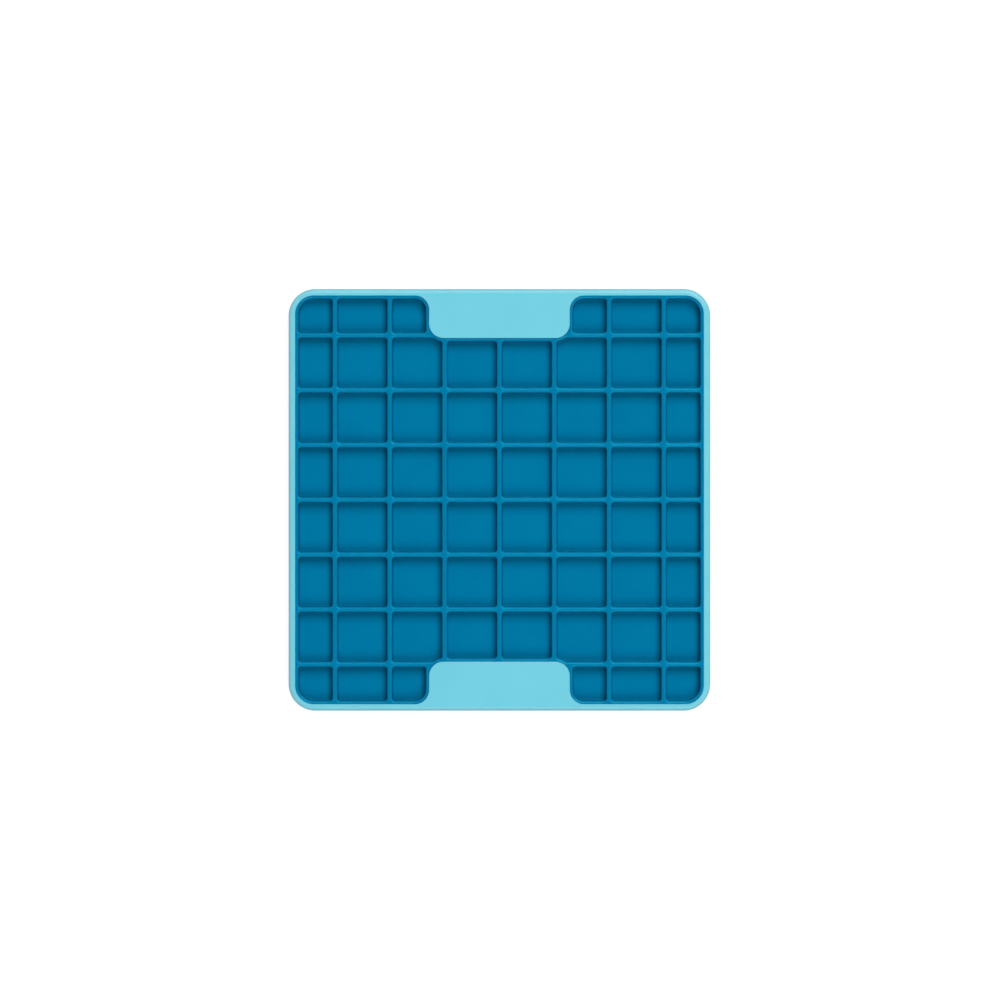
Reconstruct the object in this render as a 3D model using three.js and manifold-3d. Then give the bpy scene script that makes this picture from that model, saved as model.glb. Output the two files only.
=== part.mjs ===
// Lick mat: a hard plastic tray that holds a soft rubber insert, ribbed into a grid of square wells.
// Millimetres, +Z up. The origin is the centre of the underside, and +Y points at one of the two tabs.

import * as THREE from 'three';
import { mergeVertices } from 'three/addons/utils/BufferGeometryUtils.js';
import Module from 'manifold-3d';

const wasm = await Module();
wasm.setup();

// Tray: a rounded square with a raised rim, and a flat tab on the +Y and -Y sides.
const matSide = 200;
const matHeight = 12;
const matCornerRadius = 12.7;
const edgeRound = 2.4; // rounding of the outer edges, above and below
const rimWidth = 3;
const cavityCornerRadius = 8.8; // inside the rim
const trayFloor = 2.6;
const tabWidth = 66.6;
const tabDepth = 23.3; // from the mat's outer edge to the tab's inner edge
const tabCornerRadius = 6.8; // where the tab's sides meet its inner edge
const tabRootRadius = 6.8; // where the tab's sides run into the rim

// Insert: it lies in the tray with a small clearance, its ribs a little below the rim.
const seatGap = 0.3;
const ribDrop = 0.5;
const ribPitch = 26;
const ribCount = 7; // each way
const ribWidth = 2.4;
const borderWidth = 1.5;
const wellDepth = 6;
const wellCornerRadius = 1.3;
const wellDraft = 0.35; // how far each wall leans in from its top to the well's floor

// Fineness of the arcs: each quarter arc has twice this number of straight steps.
const outerArcFineness = 5;
const cavityArcFineness = 3;
const wellArcFineness = 1;
const edgeRoundSteps = 4;
const postSides = 32;

// Levels and limits worked out from the sizes above.
const insertBottom = trayFloor + seatGap;
const ribTop = matHeight - ribDrop;
const cutMargin = 1; // how far a cutter runs out above the piece that it cuts
const cavityHalf = matSide / 2 - rimWidth;
const tabEnd = matSide / 2 - tabDepth;
const wellInset = seatGap + borderWidth; // from the cavity's wall to the nearest wells
const wellLimit = cavityHalf - wellInset;
const tabSideLimit = tabWidth / 2 + wellInset;
const tabEndLimit = tabEnd - wellInset;
const quarterTurn = Math.PI / 2;

// Closed solid of a geometry, ready to be joined to others or cut.
function solidOf(geometry) {
  const bare = geometry.clone();
  bare.deleteAttribute('normal');
  bare.deleteAttribute('uv');
  const merged = mergeVertices(bare);
  const mesh = new wasm.Mesh({
    numProp: 3,
    vertProperties: new Float32Array(merged.attributes.position.array),
    triVerts: new Uint32Array(merged.index.array),
  });
  return new wasm.Manifold(mesh);
}

// Geometry of a finished solid, with flat shaded faces.
function geometryOf(solid) {
  const mesh = solid.getMesh();
  const geometry = new THREE.BufferGeometry();
  geometry.setAttribute('position', new THREE.BufferAttribute(mesh.vertProperties, 3));
  geometry.setIndex(new THREE.BufferAttribute(mesh.triVerts, 1));
  const faceted = geometry.toNonIndexed();
  faceted.computeVertexNormals();
  return faceted;
}

// Straight-sided solid of an outline between two levels.
function prism(outline, bottom, top, curveSegments) {
  const geometry = new THREE.ExtrudeGeometry(outline, {
    depth: top - bottom,
    bevelEnabled: false,
    curveSegments,
  });
  geometry.translate(0, 0, bottom);
  return solidOf(geometry);
}

// Rectangle whose corners each have their own radius, given by a function of the corner's place.
function roundedRectangle(x, y, radiusAt) {
  const corners = [
    { x: x.high, y: y.low, inX: -1, inY: 1, from: -quarterTurn },
    { x: x.high, y: y.high, inX: -1, inY: -1, from: 0 },
    { x: x.low, y: y.high, inX: 1, inY: -1, from: quarterTurn },
    { x: x.low, y: y.low, inX: 1, inY: 1, from: 2 * quarterTurn },
  ];
  const shape = new THREE.Shape();
  for (const corner of corners) {
    const radius = radiusAt(corner.x, corner.y);
    const centreX = corner.x + corner.inX * radius;
    const centreY = corner.y + corner.inY * radius;
    shape.absarc(centreX, centreY, radius, corner.from, corner.from + quarterTurn);
  }
  return shape;
}

// Outline of the tray's cavity moved inwards by inset: a rounded square with a notch round each tab.
function cavityOutline(inset) {
  const half = cavityHalf - inset;
  const corner = cavityCornerRadius - inset;
  const root = tabRootRadius - inset;
  const bend = tabCornerRadius + inset;
  const cornerCentre = half - corner;
  const rootX = tabWidth / 2 + inset + root;
  const rootY = half - root;
  const bendX = tabWidth / 2 + inset - bend;
  const bendY = tabEnd - inset + bend;
  // The arcs along the +Y side, from right to left. Those that sweep backwards bend round the tab.
  const arcs = [
    { x: cornerCentre, y: cornerCentre, radius: corner, from: 0, sweep: quarterTurn },
    { x: rootX, y: rootY, radius: root, from: quarterTurn, sweep: quarterTurn },
    { x: bendX, y: bendY, radius: bend, from: 0, sweep: -quarterTurn },
    { x: -bendX, y: bendY, radius: bend, from: -quarterTurn, sweep: -quarterTurn },
    { x: -rootX, y: rootY, radius: root, from: 0, sweep: quarterTurn },
    { x: -cornerCentre, y: cornerCentre, radius: corner, from: quarterTurn, sweep: quarterTurn },
  ];
  const shape = new THREE.Shape();
  for (const turn of [0, Math.PI]) {
    const side = Math.cos(turn);
    for (const arc of arcs) {
      const from = arc.from + turn;
      shape.absarc(side * arc.x, side * arc.y, arc.radius, from, from + arc.sweep, arc.sweep < 0);
    }
  }
  return shape;
}

// The tray: a plate with rounded edges, hollowed out to its floor but for the rim and the tabs.
function trayGeometry() {
  const half = matSide / 2;
  const span = { low: -half, high: half };
  const plate = new THREE.ExtrudeGeometry(roundedRectangle(span, span, () => matCornerRadius), {
    depth: matHeight - 2 * edgeRound,
    bevelThickness: edgeRound,
    bevelSize: edgeRound,
    bevelOffset: -edgeRound,
    bevelSegments: edgeRoundSteps,
    curveSegments: outerArcFineness,
  });
  plate.translate(0, 0, edgeRound);
  const cavity = prism(cavityOutline(0), trayFloor, matHeight + cutMargin, cavityArcFineness);
  return geometryOf(solidOf(plate).subtract(cavity));
}

// Low and high edges of the wells along one side of the grid, between the ribs and the borders.
function wellSpans() {
  const firstRib = (-ribPitch * (ribCount - 1)) / 2;
  const spans = [];
  for (let i = 0; i <= ribCount; i += 1) {
    const ribAfter = firstRib + i * ribPitch;
    const low = i === 0 ? -wellLimit : ribAfter - ribPitch + ribWidth / 2;
    const high = i === ribCount ? wellLimit : ribAfter - ribWidth / 2;
    spans.push({ low, high });
  }
  return spans;
}

// Radius of a well's corner: large at the mat's corners, middling where a tab meets the rim.
function wellRadiusAt(x, y) {
  const atRim = Math.abs(y) === wellLimit;
  if (atRim && Math.abs(x) === wellLimit) {
    return cavityCornerRadius - wellInset;
  }
  if (atRim && Math.abs(x) === tabSideLimit) {
    return tabRootRadius - wellInset;
  }
  return wellCornerRadius;
}

// The space of one well, with leaning walls, up to just above the ribs.
function wellSpace(x, y) {
  const atRim = Math.max(Math.abs(y.low), Math.abs(y.high)) === wellLimit;
  const geometry = new THREE.ExtrudeGeometry(roundedRectangle(x, y, wellRadiusAt), {
    depth: cutMargin,
    bevelThickness: wellDepth,
    bevelSize: wellDraft,
    bevelOffset: -wellDraft,
    bevelSegments: 1,
    curveSegments: atRim ? cavityArcFineness : wellArcFineness,
  });
  geometry.translate(0, 0, ribTop);
  return solidOf(geometry);
}

// Upright post of the insert's border round one corner of a tab, which trims the well beside it.
function tabCornerPost(sideX, sideY) {
  const radius = tabCornerRadius + wellInset;
  const height = matHeight + wellDepth;
  const geometry = new THREE.CylinderGeometry(radius, radius, height, postSides);
  geometry.rotateX(quarterTurn);
  const x = sideX * (tabWidth / 2 - tabCornerRadius);
  const y = sideY * (tabEnd + tabCornerRadius);
  geometry.translate(x, y, ribTop);
  return solidOf(geometry);
}

// All the wells. Those at a tab end at the border round it, and those under it are left out.
function wellSpaces() {
  const spaces = [];
  for (const column of wellSpans()) {
    for (const row of wellSpans()) {
      const x = { ...column };
      const y = { ...row };
      const nearX = Math.min(Math.abs(x.low), Math.abs(x.high));
      const farX = Math.max(Math.abs(x.low), Math.abs(x.high));
      const farY = Math.max(Math.abs(y.low), Math.abs(y.high));
      const outerRow = farY === wellLimit;
      const facesTab = farX < tabSideLimit;
      if (outerRow && facesTab) {
        continue;
      }
      if (outerRow && nearX < tabSideLimit) {
        x.low = x.low > 0 ? tabSideLimit : x.low;
        x.high = x.high < 0 ? -tabSideLimit : x.high;
      }
      if (facesTab) {
        y.low = Math.max(y.low, -tabEndLimit);
        y.high = Math.min(y.high, tabEndLimit);
      }
      const besideCorner = !outerRow && !facesTab && nearX < tabSideLimit && farY > tabEndLimit;
      const space = wellSpace(x, y);
      spaces.push(besideCorner ? space.subtract(tabCornerPost(Math.sign(x.low), Math.sign(y.low))) : space);
    }
  }
  return spaces;
}

// The insert: a slab that fills the cavity but for the clearance, with the wells sunk into it.
function insertGeometry() {
  let insert = prism(cavityOutline(seatGap), insertBottom, ribTop, cavityArcFineness);
  for (const space of wellSpaces()) {
    insert = insert.subtract(space);
  }
  return geometryOf(insert);
}

function piece(name, geometry, color, roughness) {
  const material = new THREE.MeshStandardMaterial({ color, roughness, metalness: 0 });
  const mesh = new THREE.Mesh(geometry, material);
  mesh.name = name;
  return mesh;
}

const lickMat = new THREE.Group();
lickMat.add(piece('tray', trayGeometry(), 0x73d1e3, 0.4));
lickMat.add(piece('insert', insertGeometry(), 0x0079a4, 0.6));

export default lickMat;
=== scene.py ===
import math

import bpy
import numpy as np
from mathutils.geometry import delaunay_2d_cdt
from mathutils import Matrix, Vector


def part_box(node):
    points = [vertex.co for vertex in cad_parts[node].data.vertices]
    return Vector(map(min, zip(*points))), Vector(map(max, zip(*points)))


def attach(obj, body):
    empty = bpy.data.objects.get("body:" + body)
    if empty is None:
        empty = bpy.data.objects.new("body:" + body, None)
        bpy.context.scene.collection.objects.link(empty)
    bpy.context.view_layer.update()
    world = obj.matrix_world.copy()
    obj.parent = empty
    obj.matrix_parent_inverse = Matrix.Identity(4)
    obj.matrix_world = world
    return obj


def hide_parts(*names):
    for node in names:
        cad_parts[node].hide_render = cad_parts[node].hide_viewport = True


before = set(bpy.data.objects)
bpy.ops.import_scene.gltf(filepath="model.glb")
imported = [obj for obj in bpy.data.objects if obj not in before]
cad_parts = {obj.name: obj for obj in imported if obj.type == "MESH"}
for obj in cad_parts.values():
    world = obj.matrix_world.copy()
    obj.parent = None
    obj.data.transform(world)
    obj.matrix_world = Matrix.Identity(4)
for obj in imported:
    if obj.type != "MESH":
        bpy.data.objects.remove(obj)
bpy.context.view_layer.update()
print("frame loaded with nodes", sorted(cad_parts))

mm = 0.001
quarterTurn = math.pi / 2

# How finely the surfaces are cut up, the same for both pieces.
fineness = {
    "fewestArcSteps": 6,  # along the smallest arcs of a path
    "hollowPoints": 7,  # on each rounding of a hollow's profile
    "sidePoints": 9,  # on each rounding of a slab's side
    "samePoint": 0.001 * mm,  # points of a path that lie closer than this are one
    "flatTolerance": 1e-6,  # of the triangulation, in millimetres
}
trianglesInside = 1  # what the triangulation gives back: the triangles inside the outer loop


# Points and inward normals of a closed path of arcs, with straight runs in the gaps between them.
# point = centre + radius * (cos a, sin a), with the angle a going from the arc's start over its sweep.
# An arc that sweeps backwards bends round something outside, so its normals point away from its centre.
def arcPath(arcs, longestStep):
    points, normals = [], []
    for x, y, radius, start, sweep in arcs:
        steps = max(fineness["fewestArcSteps"], math.ceil(abs(sweep) * radius / longestStep))
        angle = start + sweep * np.linspace(0.0, 1.0, steps + 1)
        direction = np.stack([np.cos(angle), np.sin(angle)], axis=1)
        points.append(np.array([x, y]) + radius * direction)
        normals.append(-math.copysign(1.0, sweep) * direction)
    points, normals = np.concatenate(points), np.concatenate(normals)
    step = np.linalg.norm(points - np.roll(points, 1, axis=0), axis=1)
    apart = step > fineness["samePoint"]  # arcs that touch share a point
    return points[apart], normals[apart]


# Rectangle with rounded corners: four arcs anticlockwise from the low right corner, each with its own radius.
def rectangleArcs(x, y, radii):
    (xLow, xHigh), (yLow, yHigh) = x, y
    lowRight, highRight, highLeft, lowLeft = radii
    return [
        (xHigh - lowRight, yLow + lowRight, lowRight, -quarterTurn, quarterTurn),
        (xHigh - highRight, yHigh - highRight, highRight, 0.0, quarterTurn),
        (xLow + highLeft, yHigh - highLeft, highLeft, quarterTurn, quarterTurn),
        (xLow + lowLeft, yLow + lowLeft, lowLeft, 2 * quarterTurn, quarterTurn),
    ]


# Profile down into a hollow: flat top, rounded edge, leaning wall, filleted foot, flat floor.
# With t the angle of the surface's normal from straight up, the edge is its centre plus
# radius * (sin t, cos t), and the foot is its centre minus the same. The inset grows into the hollow.
# The edge mask is strongest half way round the edge, and the mask for painted shade where the wall meets the
# foot.
def hollowProfile(top, depth, edgeRound, footRound, lean):
    tilt = math.atan2(lean, depth)
    over = np.linspace(0.0, quarterTurn - tilt, fineness["hollowPoints"])
    down = over[::-1]
    none = np.zeros(len(over))
    wall = (depth - edgeRound - footRound + (edgeRound + footRound) * math.sin(tilt)) / math.cos(tilt)
    edgeEnd = -edgeRound + edgeRound * math.cos(tilt)
    footCentre = edgeEnd + wall * math.sin(tilt) + footRound * math.cos(tilt)
    inset = np.concatenate([edgeRound * (np.sin(over) - 1), footCentre - footRound * np.sin(down)])
    drop = np.concatenate([edgeRound * (np.cos(over) - 1), footRound * (1 - np.cos(down)) - depth])
    turn = np.concatenate([over, down])
    return {
        "inset": inset,
        "height": top + drop,
        "normalIn": np.sin(turn),
        "normalUp": np.cos(turn),
        "edge": np.concatenate([np.sin(2 * over), none]),
        # Painted shade: this mask rises down the wall to its foot and fades out over the fillet, to darken
        # where shade falls.
        "paintedShadeMask": np.concatenate([none, np.sqrt(np.sin(down))]),
    }


# Profile up the outside of a slab: flat underside, rounded edge, leaning side, rounded edge, flat top.
# With t the angle of the surface's normal from straight up, each rounding is its centre plus
# radius * (sin t, cos t). The inset grows into the slab. Only the upper edge is in the edge mask.
def sideProfile(bottom, top, lowRound, highRound, lean):
    tilt = math.atan2(lean, top - bottom)
    low = np.linspace(math.pi, quarterTurn - tilt, fineness["sidePoints"])
    high = np.linspace(quarterTurn - tilt, 0.0, fineness["sidePoints"])
    none = np.zeros(len(low))
    wall = (top - bottom - lowRound - highRound + (highRound - lowRound) * math.sin(tilt)) / math.cos(tilt)
    highCentre = lowRound * (1 - math.cos(tilt)) + wall * math.sin(tilt) + highRound * math.cos(tilt)
    inset = np.concatenate([lowRound * (1 - np.sin(low)), highCentre - highRound * np.sin(high)])
    height = np.concatenate([bottom + lowRound * (1 + np.cos(low)), top - highRound * (1 - np.cos(high))])
    turn = np.concatenate([low, high])
    return {
        "inset": inset,
        "height": height,
        "normalIn": -np.sin(turn),
        "normalUp": np.cos(turn),
        "edge": np.concatenate([none, np.sin(2 * high)]),
        "paintedShadeMask": np.concatenate([none, none]),
    }


# A surface in the making: lists of arrays, and the number of points so far.
def newShell():
    return {"points": [], "normals": [], "edge": [], "paintedShadeMask": [], "faces": [], "count": 0}


# Adds points with their normals and masks to a shell and gives back their numbers.
def addPoints(shell, points, normals, edge, paintedShadeMask):
    shell["points"].append(points)
    shell["normals"].append(normals)
    shell["edge"].append(edge)
    shell["paintedShadeMask"].append(paintedShadeMask)
    first = shell["count"]
    shell["count"] += len(points)
    return np.arange(first, shell["count"])


# Carries a profile along a closed path: place = path + inset * inward normal, at the profile's height.
# The numbers that it gives back have a row for each point of the path and a column for each of the profile.
def addStrip(shell, path, profile):
    points, normals = path
    across = len(profile["inset"])
    flat = points[:, None, :] + normals[:, None, :] * profile["inset"][None, :, None]
    height = np.broadcast_to(profile["height"], flat.shape[:2])
    sideways = normals[:, None, :] * profile["normalIn"][None, :, None]
    upwards = np.broadcast_to(profile["normalUp"], flat.shape[:2])
    numbers = addPoints(
        shell,
        np.concatenate([flat, height[:, :, None]], axis=2).reshape(-1, 3),
        np.concatenate([sideways, upwards[:, :, None]], axis=2).reshape(-1, 3),
        np.tile(profile["edge"], len(points)),
        np.tile(profile["paintedShadeMask"], len(points)),
    ).reshape(len(points), across)
    after = np.roll(numbers, -1, axis=0)
    a, b, c, d = numbers[:, :-1], after[:, :-1], after[:, 1:], numbers[:, 1:]
    shell["faces"].append(np.stack([a, b, c], axis=2).reshape(-1, 3))
    shell["faces"].append(np.stack([a, c, d], axis=2).reshape(-1, 3))
    return numbers


# Fills the flat face between an outer loop and the loops inside it with a constrained triangulation.
# A triangle belongs to the face where a ray from its middle crosses the loops an odd number of times.
def addFlat(shell, loops, facesUp):
    numbers = np.concatenate(loops)
    edges, first = [], 0
    for loop in loops:
        ring = first + np.arange(len(loop))
        edges.append(np.stack([ring, np.roll(ring, -1)], axis=1))
        first += len(loop)
    edges = np.concatenate(edges)
    flat = np.concatenate(shell["points"])[numbers, :2] / mm  # millimetres suit the tolerance
    filled = delaunay_2d_cdt(
        flat.tolist(), edges.tolist(), [], trianglesInside, fineness["flatTolerance"])
    triangles, sources = filled[2:4]
    faces = np.array([source[0] for source in sources])[np.array(triangles)]
    middleX, middleY = flat[faces].mean(axis=1).T[:, :, None]
    startX, startY = flat[edges[:, 0]].T
    endX, endY = flat[edges[:, 1]].T
    spans = (startY > middleY) != (endY > middleY)
    rise = np.where(spans, endY - startY, 1.0)
    crossing = startX + (endX - startX) * (middleY - startY) / rise
    inside = (spans & (crossing > middleX)).sum(axis=1) % 2 == 1
    faces = faces[inside]
    corners = flat[faces]
    sideX, sideY = (corners[:, 1] - corners[:, 0]).T
    otherX, otherY = (corners[:, 2] - corners[:, 0]).T
    wrong = (sideX * otherY > sideY * otherX) != facesUp
    faces[wrong] = faces[wrong][:, ::-1]
    shell["faces"].append(numbers[faces])


# Turns a shell into a mesh object with exact smooth normals, its edge mask and its mask for painted shade.
def finishShell(shell, name, material, node):
    mesh = bpy.data.meshes.new(name)
    mesh.from_pydata(np.concatenate(shell["points"]), [], np.concatenate(shell["faces"]), shade_flat=False)
    for mask in ("edge", "paintedShadeMask"):
        layer = mesh.attributes.new(mask, "FLOAT", "POINT")
        layer.data.foreach_set("value", np.concatenate(shell[mask]).astype(np.float32))
    mesh.validate()
    mesh.normals_split_custom_set_from_vertices(np.concatenate(shell["normals"]))
    mesh.materials.append(material)
    piece = bpy.data.objects.new(name, mesh)
    bpy.context.scene.collection.objects.link(piece)
    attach(piece, "root")
    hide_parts(node)
    print("made", name, "with", len(mesh.polygons), "triangles")


# Links a socket to another, or sets it to a number or an opaque colour.
def feed(tree, socket, value):
    if isinstance(value, bpy.types.NodeSocket):
        tree.links.new(value, socket)
    elif isinstance(value, tuple):
        socket.default_value = (*value, 1.0)
    else:
        socket.default_value = value


# Starts a shader node group whose named sockets are all plain values.
def newGroup(name, inputs, outputs):
    group = bpy.data.node_groups.new(name, "ShaderNodeTree")
    for label in inputs:
        group.interface.new_socket(label, in_out="INPUT", socket_type="NodeSocketFloat")
    for label in outputs:
        group.interface.new_socket(label, in_out="OUTPUT", socket_type="NodeSocketFloat")
    return group, group.nodes.new("NodeGroupInput"), group.nodes.new("NodeGroupOutput")


def mathNode(tree, operation, first, second):
    node = tree.nodes.new("ShaderNodeMath")
    node.operation = operation
    feed(tree, node.inputs[0], first)
    feed(tree, node.inputs[1], second)
    return node.outputs[0]


def noiseNode(tree, place, scale, detail):
    node = tree.nodes.new("ShaderNodeTexNoise")
    feed(tree, node.inputs["Vector"], place)
    feed(tree, node.inputs["Scale"], scale)
    feed(tree, node.inputs["Detail"], detail)
    return node.outputs["Fac"]


# How many finer layers each noise has, and the range where most of its values lie.
noise = {"pitsDetail": 3.0, "cloudsDetail": 4.0, "patchesDetail": 5.0, "low": 0.3, "high": 0.7}


# Mould grain: fine pits for the height and the gloss, and broad clouds of slightly uneven pigment.
def makeMouldGrain():
    group, given, result = newGroup(
        "mouldGrain", ["Pits per metre", "Clouds per metre"], ["Pits", "Clouds"])
    place = group.nodes.new("ShaderNodeTexCoord").outputs["Object"]
    pits = noiseNode(group, place, given.outputs["Pits per metre"], noise["pitsDetail"])
    clouds = noiseNode(group, place, given.outputs["Clouds per metre"], noise["cloudsDetail"])
    feed(group, result.inputs["Pits"], pits)
    feed(group, result.inputs["Clouds"], clouds)
    return group


# Rubbed edges, and painted shade that darkens the inside corners, from the piece's masks and in uneven
# patches.
def makeWearAndPaintedShade():
    group, given, result = newGroup("wearAndPaintedShade", ["Patches per metre"], ["Rubbed", "Painted shade"])
    place = group.nodes.new("ShaderNodeTexCoord").outputs["Object"]
    patches = noiseNode(group, place, given.outputs["Patches per metre"], noise["patchesDetail"])
    # The second mask gives the painted shade in the inside corners.
    for mask, label in (("edge", "Rubbed"), ("paintedShadeMask", "Painted shade")):
        reader = group.nodes.new("ShaderNodeAttribute")
        reader.attribute_name = mask
        feed(group, result.inputs[label], mathNode(group, "MULTIPLY", reader.outputs["Fac"], patches))
    return group


# A mix node has sockets for each kind of value: its colours are inputs 6 and 7 and output 2.
def mixColours(tree, amount, first, second):
    node = tree.nodes.new("ShaderNodeMix")
    node.data_type = "RGBA"
    feed(tree, node.inputs[0], amount)
    feed(tree, node.inputs[6], first)
    feed(tree, node.inputs[7], second)
    return node.outputs[2]


# Spreads the usual values of a noise over the range from low to high.
def stretch(tree, value, low, high):
    node = tree.nodes.new("ShaderNodeMapRange")
    feed(tree, node.inputs["Value"], value)
    feed(tree, node.inputs["From Min"], noise["low"])
    feed(tree, node.inputs["From Max"], noise["high"])
    feed(tree, node.inputs["To Min"], low)
    feed(tree, node.inputs["To Max"], high)
    return node.outputs["Result"]


# A moulded surface: clouded pigment, rubbed edges, painted shade darkening the inside corners, grain in gloss
# and relief.
def makeMouldedMaterial(name, look, grainGroup, wearAndShadeGroup):
    material = bpy.data.materials.new(name)
    material.use_nodes = True
    tree = material.node_tree
    shader = tree.nodes["Principled BSDF"]
    grain = tree.nodes.new("ShaderNodeGroup")
    grain.node_tree = grainGroup
    feed(tree, grain.inputs["Pits per metre"], look["pitsPerMetre"])
    feed(tree, grain.inputs["Clouds per metre"], look["cloudsPerMetre"])
    wearAndPaintedShade = tree.nodes.new("ShaderNodeGroup")
    wearAndPaintedShade.node_tree = wearAndShadeGroup
    feed(tree, wearAndPaintedShade.inputs["Patches per metre"], look["patchesPerMetre"])
    clouds = stretch(tree, grain.outputs["Clouds"], 0.0, 1.0)
    rubbed = mathNode(tree, "MULTIPLY", wearAndPaintedShade.outputs["Rubbed"], look["rubbedAmount"])
    # Painted shade: a darker colour mixed in towards the foot of each wall.
    paintedShade = mathNode(tree, "MULTIPLY", wearAndPaintedShade.outputs["Painted shade"], look["paintedShadeAmount"])
    colour = mixColours(tree, clouds, look["deep"], look["pale"])
    colour = mixColours(tree, rubbed, colour, look["rubbed"])
    colour = mixColours(tree, paintedShade, colour, look["paintedShade"])
    feed(tree, shader.inputs["Base Color"], colour)
    gloss = stretch(tree, grain.outputs["Pits"], look["smoothest"], look["roughest"])
    feed(tree, shader.inputs["Roughness"], gloss)
    feed(tree, shader.inputs["Specular IOR Level"], look["specular"])
    feed(tree, shader.inputs["Specular Tint"], look["specularTint"])
    bump = tree.nodes.new("ShaderNodeBump")
    feed(tree, bump.inputs["Strength"], look["reliefStrength"])
    feed(tree, bump.inputs["Distance"], look["reliefDepth"])
    feed(tree, bump.inputs["Height"], grain.outputs["Pits"])
    feed(tree, shader.inputs["Normal"], bump.outputs["Normal"])
    return material


# Hard, light aqua plastic.
trayLook = {
    "deep": (0.119, 0.511, 0.624),
    "pale": (0.129, 0.530, 0.644),
    "rubbed": (0.30, 0.56, 0.66),
    "rubbedAmount": 0.60,
    # Painted shade: a darker aqua mixed in at the cavity's inside corner.
    "paintedShade": (0.05, 0.30, 0.38),
    "paintedShadeAmount": 0.10,
    "pitsPerMetre": 5200.0,
    "cloudsPerMetre": 45.0,
    "patchesPerMetre": 180.0,
    "smoothest": 0.34,
    "roughest": 0.46,
    "reliefStrength": 0.25,
    "reliefDepth": 0.04 * mm,
    "specular": 0.5,
    "specularTint": (1.0, 1.0, 1.0),
}
# Soft, dark blue rubber with a bluish gloss.
insertLook = {
    "deep": (0.0, 0.158, 0.318),
    "pale": (0.0, 0.169, 0.334),
    "rubbed": (0.01, 0.24, 0.42),
    "rubbedAmount": 0.25,
    # Painted shade: a near-black blue mixed in down the wells' walls towards their feet.
    "paintedShade": (0.0, 0.05, 0.11),
    "paintedShadeAmount": 1.07,
    "pitsPerMetre": 3000.0,
    "cloudsPerMetre": 70.0,
    "patchesPerMetre": 220.0,
    "smoothest": 0.19,
    "roughest": 0.28,
    "reliefStrength": 0.20,
    "reliefDepth": 0.04 * mm,
    "specular": 0.62,
    "specularTint": (0.02, 0.65, 0.95),
}
mouldGrain = makeMouldGrain()
wearAndShadeMarks = makeWearAndPaintedShade()
trayPlastic = makeMouldedMaterial("trayPlastic", trayLook, mouldGrain, wearAndShadeMarks)
insertRubber = makeMouldedMaterial("insertRubber", insertLook, mouldGrain, wearAndShadeMarks)
print("materials made")

# The tray's sizes. Its outer size and its height come from the frame.
tray = {
    "cornerRadius": 12.7 * mm,
    "lowEdgeRound": 2.2 * mm,
    "rimEdgeRound": 2.0 * mm,
    "sideLean": 0.05 * mm,
    "rimWidth": 3.15 * mm,
    "floorThickness": 2.6 * mm,
    "cavityCornerRadius": 8.8 * mm,
    "tabWidth": 66.6 * mm,
    "tabDepth": 23.3 * mm,  # from the outer edge to the tab's inner edge
    "tabCornerRadius": 6.8 * mm,  # where the tab's sides meet its inner edge
    "tabRootRadius": 6.8 * mm,  # where the tab's sides run into the rim
    "innerEdgeRound": 0.12 * mm,
    "footRound": 0.3 * mm,
    "cavityLean": 0.02 * mm,
    "longestStep": 0.7 * mm,
}
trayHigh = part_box("tray")[1]
tray["half"] = trayHigh.x
tray["height"] = trayHigh.z
tray["cavityHalf"] = tray["half"] - tray["rimWidth"]
tray["tabEnd"] = tray["half"] - tray["tabDepth"]


# Outline of the cavity moved inwards by inset: a rounded square with a notch round each tab.
# The arcs run along the +Y side from right to left, and then the same turned by half a turn.
def cavityArcs(inset):
    half = tray["cavityHalf"] - inset
    corner = tray["cavityCornerRadius"] - inset
    root = tray["tabRootRadius"] - inset
    bend = tray["tabCornerRadius"] + inset
    rootX = tray["tabWidth"] / 2 + inset + root
    bendX = tray["tabWidth"] / 2 + inset - bend
    bendY = tray["tabEnd"] - inset + bend
    upper = [
        (half - corner, half - corner, corner, 0.0, quarterTurn),
        (rootX, half - root, root, quarterTurn, quarterTurn),
        (bendX, bendY, bend, 0.0, -quarterTurn),
        (-bendX, bendY, bend, -quarterTurn, -quarterTurn),
        (-rootX, half - root, root, 0.0, quarterTurn),
        (corner - half, half - corner, corner, quarterTurn, quarterTurn),
    ]
    lower = [(-x, -y, radius, start + math.pi, sweep) for x, y, radius, start, sweep in upper]
    return upper + lower


# The tray: a slab with rounded edges, hollowed out but for its floor, the rim and the tabs.
def makeTray():
    shell = newShell()
    span = (-tray["half"], tray["half"])
    outline = arcPath(rectangleArcs(span, span, [tray["cornerRadius"]] * 4), tray["longestStep"])
    side = sideProfile(0.0, tray["height"], tray["lowEdgeRound"], tray["rimEdgeRound"], tray["sideLean"])
    outside = addStrip(shell, outline, side)
    depth = tray["height"] - tray["floorThickness"]
    hollow = hollowProfile(
        tray["height"], depth, tray["innerEdgeRound"], tray["footRound"], tray["cavityLean"])
    inside = addStrip(shell, arcPath(cavityArcs(0.0), tray["longestStep"]), hollow)
    addFlat(shell, [outside[:, 0]], facesUp=False)
    addFlat(shell, [outside[:, -1], inside[:, 0]], facesUp=True)
    addFlat(shell, [inside[:, -1]], facesUp=True)
    finishShell(shell, "tray_shell", trayPlastic, "tray")


makeTray()

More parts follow.
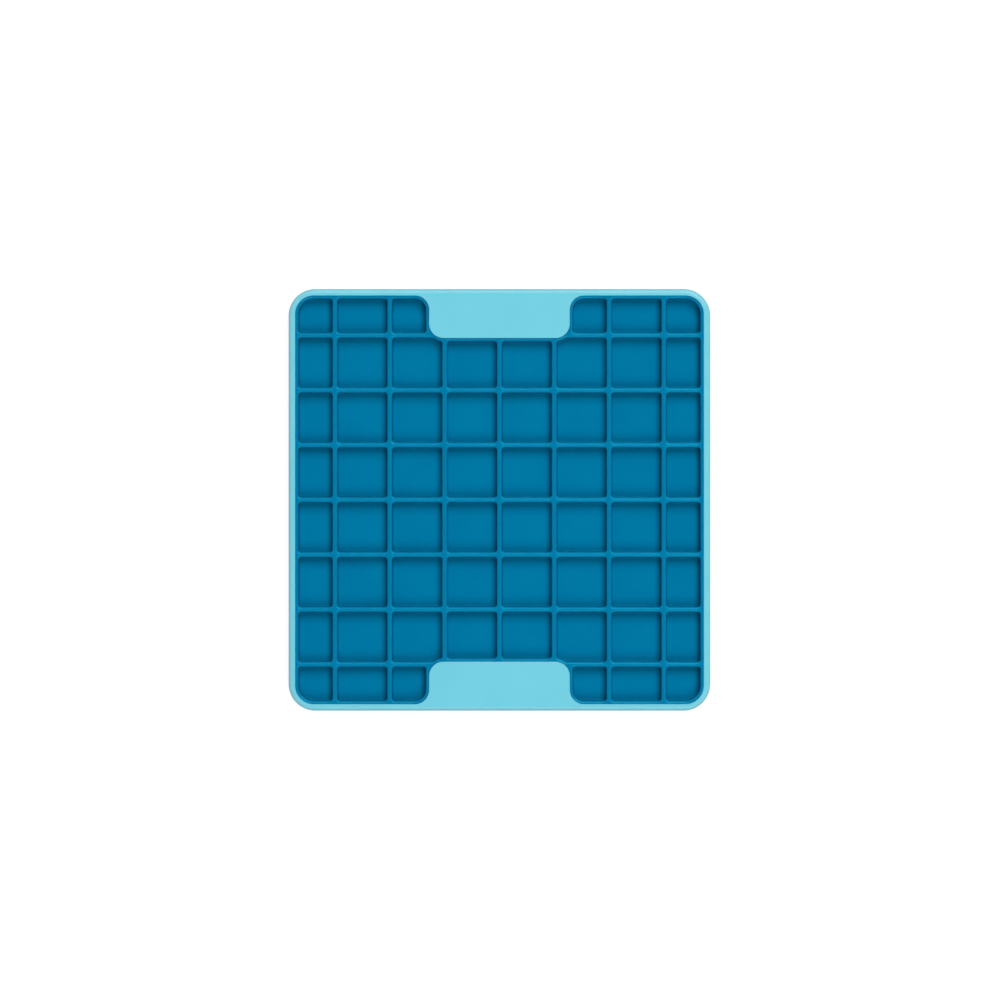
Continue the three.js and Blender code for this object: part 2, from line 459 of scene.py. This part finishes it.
# The insert's sizes. Its levels come from the frame.
insert = {
    "sideGap": 0.02 * mm,  # it is pressed into the tray, so the seam is only a hairline
    "ribPitch": 26.0 * mm,
    "ribWidth": 2.34 * mm,
    "wellInset": 1.5 * mm,  # from the tray's cavity wall to the nearest wells
    "wellDepth": 6.0 * mm,
    "wellCornerRadius": 1.3 * mm,
    "wellLean": 0.44 * mm,
    "ribEdgeRound": 1.15 * mm,  # nearly half the rib, so its top is crowned
    "wellFootRound": 0.23 * mm,
    "rimEdgeRound": 0.08 * mm,
    "baseRound": 0.2 * mm,
    "longestStep": 0.5 * mm,
    "wellsInHalf": 4,  # wells in a row, from the middle rib to the rim
}
insertLow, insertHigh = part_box("insert")
insert["bottom"] = insertLow.z
insert["ribTop"] = insertHigh.z
insert["wellLimit"] = tray["cavityHalf"] - insert["wellInset"]
insert["tabSideLimit"] = tray["tabWidth"] / 2 + insert["wellInset"]
insert["tabEndLimit"] = tray["tabEnd"] - insert["wellInset"]

# Column and row of the wells that aren't plain, counted from the middle ribs towards +X and +Y.
wellPlaces = {
    "underTab": (0, 3),
    "facesTab": (0, 2),
    "besideTab": (1, 3),
    "atTabCorner": (1, 2),
    "atMatCorner": (3, 3),
}


# Well at a tab's corner: a rectangle whose high left corner is cut back by a circle round the tab's corner.
# Each small rounding sits at its radius from a side, and at both radii from the circle's centre.
def trimmedWellArcs(x, y, small):
    xLow, yHigh = x[0], y[1]
    radius = tray["tabCornerRadius"] + insert["wellInset"]
    centreX = tray["tabWidth"] / 2 - tray["tabCornerRadius"]
    centreY = tray["tabEnd"] + tray["tabCornerRadius"]
    reach = radius + small
    topX = centreX + math.sqrt(reach ** 2 - (yHigh - small - centreY) ** 2)
    sideY = centreY - math.sqrt(reach ** 2 - (xLow + small - centreX) ** 2)
    topAngle = math.atan2(yHigh - small - centreY, topX - centreX)
    sideAngle = math.atan2(sideY - centreY, xLow + small - centreX)
    lowRight, highRight, _, lowLeft = rectangleArcs(x, y, [small] * 4)
    return [
        lowRight,
        highRight,
        (topX, yHigh - small, small, quarterTurn, topAngle + quarterTurn),
        (centreX, centreY, radius, topAngle, sideAngle - topAngle),
        (xLow + small, sideY, small, sideAngle + math.pi, -sideAngle),
        lowLeft,
    ]


# Arcs of the wells in the quarter of the mat with x and y positive, the others being its mirror images.
def quarterWells():
    pitch = insert["ribPitch"]
    halfRib = insert["ribWidth"] / 2
    small = insert["wellCornerRadius"]
    count = insert["wellsInHalf"]
    starts = [k * pitch + halfRib for k in range(count)]
    ends = [(k + 1) * pitch - halfRib for k in range(count - 1)] + [insert["wellLimit"]]
    wells = []
    for place in [(column, row) for column in range(count) for row in range(count)]:
        x, y = [(starts[k], ends[k]) for k in place]
        highRight, highLeft = small, small
        if place == wellPlaces["underTab"]:
            continue
        if place == wellPlaces["atTabCorner"]:
            wells.append(trimmedWellArcs(x, y, small))
            continue
        if place == wellPlaces["facesTab"]:
            y = (y[0], insert["tabEndLimit"])
        if place == wellPlaces["besideTab"]:
            x = (insert["tabSideLimit"], x[1])
            highLeft = tray["tabRootRadius"] - insert["wellInset"]
        if place == wellPlaces["atMatCorner"]:
            highRight = tray["cavityCornerRadius"] - insert["wellInset"]
        wells.append(rectangleArcs(x, y, (small, highRight, highLeft, small)))
    return wells


# The insert: a slab that fills the cavity, with the wells sunk into it and crowned ribs between them.
def makeInsert():
    shell = newShell()
    outline = arcPath(cavityArcs(insert["sideGap"]), insert["longestStep"])
    side = sideProfile(insert["bottom"], insert["ribTop"], insert["baseRound"], insert["rimEdgeRound"], 0.0)
    outside = addStrip(shell, outline, side)
    hollow = hollowProfile(
        insert["ribTop"], insert["wellDepth"], insert["ribEdgeRound"], insert["wellFootRound"],
        insert["wellLean"])
    mouths = []
    for arcs in quarterWells():
        points, normals = arcPath(arcs, insert["longestStep"])
        for mirror in np.array([(1, 1), (-1, 1), (-1, -1), (1, -1)]):
            order = mirror.prod()  # a path that is mirrored once turns the other way
            path = ((points * mirror)[::order], (normals * mirror)[::order])
            well = addStrip(shell, path, hollow)
            addFlat(shell, [well[:, -1]], facesUp=True)
            mouths.append(well[:, 0])
    addFlat(shell, [outside[:, 0]], facesUp=False)
    addFlat(shell, [outside[:, -1], *mouths], facesUp=True)
    finishShell(shell, "insert_shell", insertRubber, "insert")


makeInsert()

white = (1.0, 1.0, 1.0)

# A large floor, well past every view, that glows white like a light table, so that hardly a shadow shows.
# The mat gets only a part of that glow, which keeps a thin dark line round its outer edge.
floor = {
    "half": 6.0,
    "level": -0.2 * mm,  # just below the mat's flat underside
    "colour": (0.15, 0.15, 0.15),
    "roughness": 0.8,
    "glow": 0.9,
    "glowOnMat": 0.35,
}


def makeFloor():
    half, level = floor["half"], floor["level"]
    mesh = bpy.data.meshes.new("floor")
    corners = [(-half, -half, level), (half, -half, level), (half, half, level), (-half, half, level)]
    mesh.from_pydata(corners, [], [(0, 1, 2, 3)])
    material = bpy.data.materials.new("paleFloor")
    material.use_nodes = True
    tree = material.node_tree
    shader = tree.nodes["Principled BSDF"]
    feed(tree, shader.inputs["Base Color"], floor["colour"])
    feed(tree, shader.inputs["Roughness"], floor["roughness"])
    feed(tree, shader.inputs["Specular IOR Level"], 0.0)
    feed(tree, shader.inputs["Emission Color"], white)
    seen = tree.nodes.new("ShaderNodeLightPath").outputs["Is Camera Ray"]
    extra = mathNode(tree, "MULTIPLY", seen, floor["glow"] - floor["glowOnMat"])
    feed(tree, shader.inputs["Emission Strength"], mathNode(tree, "ADD", extra, floor["glowOnMat"]))
    mesh.materials.append(material)
    ground = bpy.data.objects.new("floor", mesh)
    bpy.context.scene.collection.objects.link(ground)


makeFloor()

# Soft studio light: white walls, brighter on the -X side, that fade to a dim ceiling, and two wide lamps high
# overhead on the +X side, a stronger one beyond the +Y tab and a weaker one beyond the other tab.
studio = {
    "ceiling": 0.2,
    "walls": 1.26,
    "wallFade": 3.0,  # how fast the walls darken towards the ceiling
    "sideGlow": 0.7,  # what the -X wall has more, and the +X wall less
    "lampHeight": 9.0,
    "lampSize": (5.46, 8.22),
    "lamps": [
        {"name": "upperLamp", "x": 2.84, "y": 7.07, "power": 1225.0},
        {"name": "lowerLamp", "x": 2.84, "y": -7.07, "power": 774.0},
    ],
}


# Light from a direction (x, y, z) = ceiling + (walls - ceiling) * (1 - sideGlow * x) * (1 - z) ^ wallFade.
def makeRoom():
    world = bpy.data.worlds.new("room")
    world.use_nodes = True
    tree = world.node_tree
    background = tree.nodes["Background"]
    feed(tree, background.inputs["Color"], white)
    direction = tree.nodes.new("ShaderNodeSeparateXYZ")
    feed(tree, direction.inputs[0], tree.nodes.new("ShaderNodeTexCoord").outputs["Generated"])
    low = mathNode(tree, "SUBTRACT", 1.0, direction.outputs["Z"])
    fade = mathNode(tree, "POWER", low, studio["wallFade"])
    lean = mathNode(tree, "MULTIPLY", direction.outputs["X"], studio["sideGlow"])
    glow = mathNode(tree, "MULTIPLY", fade, mathNode(tree, "SUBTRACT", 1.0, lean))
    glow = mathNode(tree, "MULTIPLY", glow, studio["walls"] - studio["ceiling"])
    feed(tree, background.inputs["Strength"], mathNode(tree, "ADD", glow, studio["ceiling"]))
    bpy.context.scene.world = world


def makeLamps():
    for lamp in studio["lamps"]:
        light = bpy.data.lights.new(lamp["name"], "AREA")
        light.shape = "RECTANGLE"
        light.size, light.size_y = studio["lampSize"]
        light.energy = lamp["power"]
        holder = bpy.data.objects.new(lamp["name"], light)
        holder.location = (lamp["x"], lamp["y"], studio["lampHeight"])
        bpy.context.scene.collection.objects.link(holder)


makeRoom()
makeLamps()

# Straight down from far off, with +Y at the top of the picture.
camera = {
    "lens": 200.0,
    "x": 0.27 * mm,
    "y": -0.075 * mm,
    "height": 2644.8 * mm,
}


def makeCamera():
    data = bpy.data.cameras.new("camera")
    data.lens = camera["lens"]
    holder = bpy.data.objects.new("camera", data)
    holder.location = (camera["x"], camera["y"], camera["height"])
    bpy.context.scene.collection.objects.link(holder)
    bpy.context.scene.camera = holder


makeCamera()
bpy.context.scene.view_settings.view_transform = "Standard"
print("floor, light and camera set")
